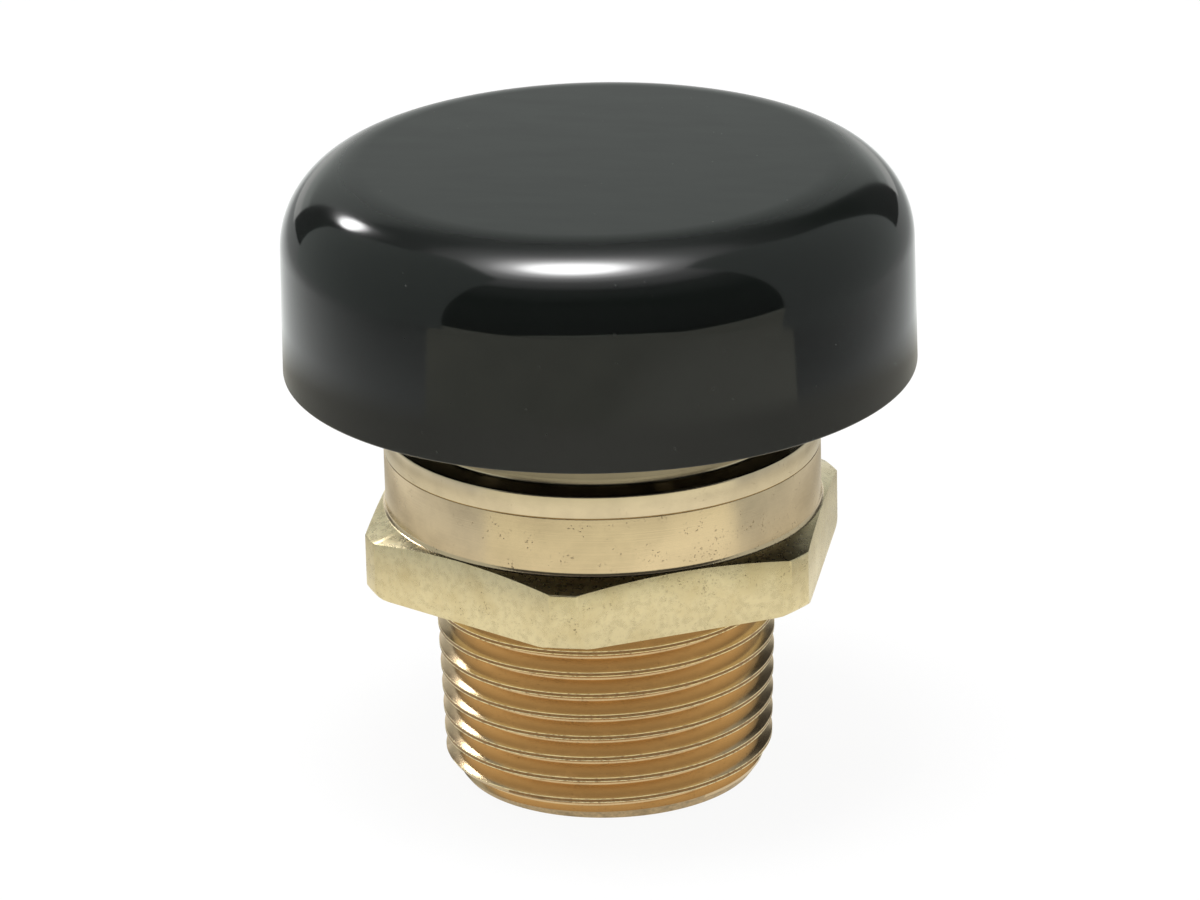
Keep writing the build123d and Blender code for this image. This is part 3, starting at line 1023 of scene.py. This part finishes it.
class VALVE_OT_cap(bpy.types.Operator):
    """Add the moulded cap with its ribs"""

    bl_idname = "valve.add_cap"
    bl_label = "Cap"

    def execute(self, context):
        sizes = scene_settings("cap")
        bonnet = scene_settings("bonnet")
        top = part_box("vent_cap")[1].z
        lean = tan(sizes.draft)
        inner = sizes.radius - sizes.wall
        ceiling = top - sizes.roof
        bm = turned([
            (0, top),
            (sizes.radius - (top - sizes.base) * lean, top, sizes.shoulder, 24),
            (sizes.radius, sizes.base, sizes.rim, 4),
            (inner, sizes.base, sizes.rim, 4),
            (inner - (ceiling - sizes.base) * lean, ceiling, sizes.shoulder - sizes.wall, 12),
            (0, ceiling),
        ], closed=False, steps=256)
        root = inner + sizes.rib_root
        for rib in range(sizes.ribs):
            self.add_rib(bm, sizes, bonnet, root, ceiling, rib * tau / sizes.ribs)
        piece("dome_cap", bm, [moulded_plastic()], "cap", "black_plastic", "vent_cap")
        return {"FINISHED"}

    def add_rib(self, bm, sizes, bonnet, root, ceiling, turn_by):
        """One rib: a plate that hangs from the dome, rests on the boss and grips its side."""
        rib = bmesh.new()
        beside = bonnet.boss_radius + 0.1 * MM
        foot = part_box("vent_cap")[0].z
        roof = ceiling + sizes.rib_root
        outer = root - (roof - sizes.base) * tan(sizes.draft)
        outline(rib, [
            (bonnet.well_radius + 0.2 * MM, bonnet.boss_top),
            (beside, bonnet.boss_top),
            (beside, foot, 0.3 * MM, 3),
            (beside + sizes.rib_foot, foot, 0.3 * MM, 3),
            (beside + sizes.rib_foot, bonnet.boss_top, 0.8 * MM, 3),
            (outer, bonnet.boss_top + sizes.rib_rise * 0.8),
            (outer, roof, sizes.shoulder - sizes.wall + sizes.rib_root, 10),
            (bonnet.well_radius + 0.2 * MM, roof),
        ])
        plate = bmesh.ops.contextual_create(rib, geom=rib.edges[:])["faces"]
        bmesh.ops.translate(rib, verts=rib.verts, vec=(0, -sizes.rib_thickness / 2, 0))
        made = bmesh.ops.extrude_face_region(rib, geom=plate, use_keep_orig=True)["geom"]
        raised = [part for part in made if isinstance(part, bmesh.types.BMVert)]
        bmesh.ops.translate(rib, verts=raised, vec=(0, sizes.rib_thickness, 0))
        bmesh.ops.recalc_face_normals(rib, faces=rib.faces)
        sharp = [edge for edge in rib.edges if edge.calc_face_angle(0) > radians(60)]
        bmesh.ops.bevel(
            rib, geom=sharp, offset=0.12 * MM, offset_type="OFFSET", segments=2, profile=0.5,
            affect="EDGES", material=-1, clamp_overlap=True,
        )
        bmesh.ops.rotate(rib, cent=ORIGIN, matrix=Matrix.Rotation(turn_by, 3, "Z"), verts=rib.verts)
        joined(bm, rib)


class VALVE_OT_stage(bpy.types.Operator):
    """Add the floor, the lamps, the glowing cards and the camera"""

    bl_idname = "valve.add_stage"
    bl_label = "Stage"

    def execute(self, context):
        stage = scene_settings("stage")
        spin = Matrix.Rotation(stage.azimuth, 4, "Z")
        self.add_camera(stage, spin)
        self.add_world()
        self.add_floor(spin)
        self.add_cards(spin)
        self.add_soft_box(spin)
        self.add_lamp(spin)
        bpy.context.scene.view_settings.view_transform = "Standard"
        return {"FINISHED"}

    def add_camera(self, stage, spin):
        data = bpy.data.cameras.new("camera")
        data.sensor_width = 36
        data.lens = stage.lens
        data.clip_start = 0.01
        data.clip_end = 20
        camera = bpy.data.objects.new("camera", data)
        bpy.context.scene.collection.objects.link(camera)
        camera.matrix_world = (
            spin
            @ Matrix.Translation((stage.target_side, 0, stage.target_height))
            @ Matrix.Rotation(pi / 2 - stage.elevation, 4, "X")
            @ Matrix.Translation((0, 0, stage.distance))
            @ Matrix.Rotation(stage.roll, 4, "Z")
        )
        bpy.context.scene.camera = camera

    def add_world(self):
        world = bpy.data.worlds.new("studio")
        world.use_nodes = True
        bpy.context.scene.world = world
        nodes, links = world.node_tree.nodes, world.node_tree.links
        background = nodes["Background"]
        path = nodes.new("ShaderNodeLightPath")
        seen = nodes.new("ShaderNodeMath")
        seen.operation = "MAXIMUM"
        level = nodes.new("ShaderNodeMapRange")
        level.inputs["To Min"].default_value = 0.06
        level.inputs["To Max"].default_value = 1.0
        links.new(path.outputs["Is Camera Ray"], seen.inputs[0])
        links.new(path.outputs["Is Transmission Ray"], seen.inputs[1])
        links.new(seen.outputs[0], level.inputs["Value"])
        links.new(level.outputs["Result"], background.inputs["Strength"])
        background.inputs["Color"].default_value = (1, 1, 1, 1)

    def add_floor(self, spin):
        bm = bmesh.new()
        bmesh.ops.create_circle(bm, cap_ends=True, segments=64, radius=3.0)
        bmesh.ops.transform(bm, matrix=spin, verts=bm.verts)
        self.staged("floor", bm, self.paper(), shown=True)

    def paper(self):
        """Pale paper, white to the camera. To glossy rays it glows with painted light and shade: a sheet with
        painted falloff, cloth with a painted pool of light, painted dark past the table's end and painted shadow
        around the valve's foot.
        """
        finish = Finish("floor_painted_reflections", roughness=0.9)
        stage = scene_settings("stage")
        rays = finish.node("ShaderNodeLightPath")
        turned_place = finish.node(
            "ShaderNodeMapping", None, {"Vector": finish.place, "Rotation": (0, 0, -stage.azimuth)}
        )
        parts = finish.node("ShaderNodeSeparateXYZ", None, {0: turned_place})
        towards = parts.output("Y")
        sideways = parts.output("X")
        front = towards * -1
        away = finish.radius()
        facing = front / away * 0.5 + 0.5
        reach = away / (200 * MM)
        wedge = finish.ramp(front * 1.73 + sideways, (0.0, 0), (0.004, 1))
        wedge = wedge * finish.ramp(front * 2.475 - sideways, (0.0, 0), (0.004, 1))
        # Painted light: the sheet is painted dimmer to the sides and towards the front, as light falls off.
        aside = sideways + 20 * MM
        painted_side_falloff = finish.ramp(aside * aside / (200 * MM) ** 2, (0.05, 1.0), (0.30, 0.70), (0.50, 0.52), (1.0, 0.48))
        painted_front_falloff = finish.ramp((towards + 70 * MM) / (120 * MM), (0.1, 0.76), (1.0, 1.0))
        sheet = finish.mixed((0, 0, 0), (1.0, 1.03, 1.01), painted_side_falloff * painted_front_falloff)
        cloudy = finish.ramp(finish.noise(40 * MM, 2.0), (0.35, 0), (0.65, 1))
        cloth = finish.mixed((0.71, 0.71, 0.60), (0.81, 0.81, 0.68), cloudy)
        # Painted light: a pool of light painted on the cloth.
        painted_pool_x = sideways - 75 * MM
        painted_pool_y = front - 85 * MM
        painted_light_pool = finish.ramp((painted_pool_x * painted_pool_x + painted_pool_y * painted_pool_y) / (80 * MM) ** 2, (0.2, 0.8), (1.0, 0))
        cloth = finish.mixed(cloth, (0.98, 0.98, 0.86), painted_light_pool)
        # Painted shade: past the table's end the floor is painted nearly black.
        painted_dark_past_table = finish.ramp(front - sideways * 0.106 - 317 * MM, (0.0, 1), (0.004, 0))
        cloth = finish.mixed((0.045, 0.045, 0.045), cloth, painted_dark_past_table)
        # Painted shadow: rings around the valve's foot, painted darker behind it than in front.
        foot = finish.ramp(facing, (0.3, 1.0), (0.6, 1.0), (1.0, 0.86))
        inner = finish.ramp(facing, (0.1, 0.72), (0.6, 0.84), (0.88, 1.0))
        outer = finish.ramp(facing, (0.2, 0.48), (0.5, 0.62), (0.75, 0.72), (0.93, 0.88), (1.0, 0.95))
        level = foot + (inner - foot) * finish.ramp(reach, (0.24, 0), (0.28, 1))
        level = level + (outer - level) * finish.ramp(reach, (0.37, 0), (0.40, 1))
        painted_shade_near_foot = finish.mixed((0, 0, 0), (0.88, 0.86, 0.76), level)
        seen = finish.mixed(painted_shade_near_foot, finish.mixed(sheet, cloth, wedge), finish.ramp(reach, (0.49, 0), (0.55, 1)))
        seen = finish.mixed(seen, (1, 1, 1), rays.output("Is Camera Ray"))
        glow = finish.node("ShaderNodeEmission", None, {"Color": seen, "Strength": 1.0})
        share = finish.node(
            "ShaderNodeMath", {"operation": "MAXIMUM"},
            {0: rays.output("Is Camera Ray") * 0.93, 1: rays.output("Is Glossy Ray")},
        )
        finish.surface("Base Color", (0.8, 0.8, 0.8))
        mix = finish.node("ShaderNodeMixShader", None, {0: share})
        finish.tree.links.new(finish.shader.outputs[0], mix.socket.node.inputs[1])
        finish.tree.links.new(glow.socket, mix.socket.node.inputs[2])
        finish.tree.links.new(mix.socket, finish.tree.nodes["Material Output"].inputs["Surface"])
        return finish.material

    def add_cards(self, spin):
        """Glowing panels unseen by the camera: cards left and right, a step in front and a sweep behind, each
        glowing as painted light, the sweep painted brightest low and darkest high.
        """
        cards = (
            ("left_card", (0.44, 0.475, 0.455), (
                (-215, -155, 0), (-215, 190, 0), (-215, 190, 170), (-215, 130, 270), (-215, 100, 320),
                (-215, 70, 400), (-215, 30, 450), (-215, -155, 450))),
            ("right_card", (0.46, 0.49, 0.475), (
                (145, -73, 0), (148, 54, 0), (175, 170, 0), (163, 125, 165), (161, 117, 200), (153, 82, 231),
                (150, 65, 335), (147, 0, 430), (145, -73, 430))),
            ("front_step", (0.74, 0.76, 0.64), (
                (-190, -325, 0), (-100, -325, 20), (0, -325, 28), (100, -325, 20), (190, -325, 0))),
            ("back_sweep_low", (0.95, 0.96, 0.93), (
                (-560, 900, 0), (460, 900, 0), (460, 900, 120), (-560, 900, 120))),
            ("back_sweep_middle", (0.68, 0.72, 0.69), (
                (-560, 900, 120), (460, 900, 120), (460, 900, 230), (-560, 900, 230))),
            ("back_sweep_high", (0.435, 0.465, 0.445), (
                (-560, 900, 230), (460, 900, 230), (460, 900, 900), (-560, 900, 900))),
        )
        for name, level, corners in cards:
            bm = bmesh.new()
            card = bm.faces.new([bm.verts.new(Vector(corner) * MM) for corner in corners])
            bmesh.ops.transform(bm, matrix=spin, verts=card.verts)
            bmesh.ops.connect_verts_concave(bm, faces=[card])
            self.staged(name, bm, self.glowing(name, level), shown=False)

    def glowing(self, name, level):
        finish = Finish(name)
        glow = finish.node("ShaderNodeEmission", None, {"Color": level, "Strength": 1.0})
        finish.tree.links.new(glow.socket, finish.tree.nodes["Material Output"].inputs["Surface"])
        return finish.material

    def staged(self, name, bm, finish, shown):
        mesh = bpy.data.meshes.new(name)
        bm.to_mesh(mesh)
        bm.free()
        mesh.materials.append(finish)
        made = bpy.data.objects.new(name, mesh)
        bpy.context.scene.collection.objects.link(made)
        made.visible_camera = shown
        made.visible_shadow = shown

    def add_soft_box(self, spin):
        """A soft box overhead, brightest in its middle."""
        bm = bmesh.new()
        bmesh.ops.create_grid(bm, x_segments=1, y_segments=1, size=1.6)
        place = spin @ Matrix.Translation((0, 0, 1.0)) @ Matrix.Rotation(pi, 4, "X")
        bmesh.ops.transform(bm, matrix=place, verts=bm.verts)
        finish = Finish("soft_box")
        stage = scene_settings("stage")
        turned_place = finish.node(
            "ShaderNodeMapping", None, {"Vector": finish.place, "Rotation": (0, 0, -stage.azimuth)}
        )
        parts = finish.node("ShaderNodeSeparateXYZ", None, {0: turned_place})
        across = (parts.output("X") + 90 * MM) / (190 * MM)
        along = (parts.output("Y") + 85 * MM) / (145 * MM)
        far = (across * across + along * along) / 60.0
        level = finish.ramp(
            far, (0.009, 1), (0.024, 0.32), (0.055, 0.10), (0.11, 0.035), (0.30, 0.006), (0.66, 0.003), (1, 0.001)
        )
        glow = finish.node("ShaderNodeEmission", None, {"Color": (1, 1, 1), "Strength": level * 32.0})
        finish.tree.links.new(glow.socket, finish.tree.nodes["Material Output"].inputs["Surface"])
        self.staged("soft_box", bm, finish.material, shown=False)

    def add_lamp(self, spin):
        """A small round lamp behind on the left."""
        data = bpy.data.lights.new("back_left", "AREA")
        data.shape = "DISK"
        data.size = 0.13
        data.energy = 20.0 * pi * pi * (data.size / 2) ** 2
        lamp = bpy.data.objects.new("back_left", data)
        bpy.context.scene.collection.objects.link(lamp)
        lamp.visible_camera = False
        lamp.matrix_world = (
            spin
            @ Matrix.Rotation(radians(-138), 4, "Z")
            @ Matrix.Rotation(pi / 2 - radians(35.7), 4, "X")
            @ Matrix.Translation((0, 0, 0.83))
        )


class VALVE_PT_pieces(bpy.types.Panel):
    """Lists the pieces of the valve"""

    bl_idname = "VALVE_PT_pieces"
    bl_label = "Vacuum relief valve"
    bl_space_type = "VIEW_3D"
    bl_region_type = "UI"
    bl_category = "Valve"

    def draw(self, context):
        for operator in OPERATORS:
            self.layout.operator(operator.bl_idname)


GROUPS = {
    "thread": ThreadSizes,
    "body": BodySizes,
    "bonnet": BonnetSizes,
    "spring": SpringSizes,
    "cap": CapSizes,
    "colours": FinishColours,
    "stage": StageSettings,
}
OPERATORS = (
    VALVE_OT_body,
    VALVE_OT_bonnet,
    VALVE_OT_disc,
    VALVE_OT_stem,
    VALVE_OT_spring,
    VALVE_OT_cap,
    VALVE_OT_stage,
)


def register():
    for name, group in GROUPS.items():
        bpy.utils.register_class(group)
        setattr(bpy.types.Scene, f"valve_{name}", bpy.props.PointerProperty(type=group))
    for cls in (*OPERATORS, VALVE_PT_pieces):
        bpy.utils.register_class(cls)


def unregister():
    for cls in (VALVE_PT_pieces, *reversed(OPERATORS)):
        bpy.utils.unregister_class(cls)
    for name, group in reversed(GROUPS.items()):
        delattr(bpy.types.Scene, f"valve_{name}")
        bpy.utils.unregister_class(group)


def main():
    register()
    for name in ("body", "bonnet", "disc", "stem", "spring", "cap", "stage"):
        getattr(bpy.ops.valve, f"add_{name}")()


if __name__ == "__main__":
    main()
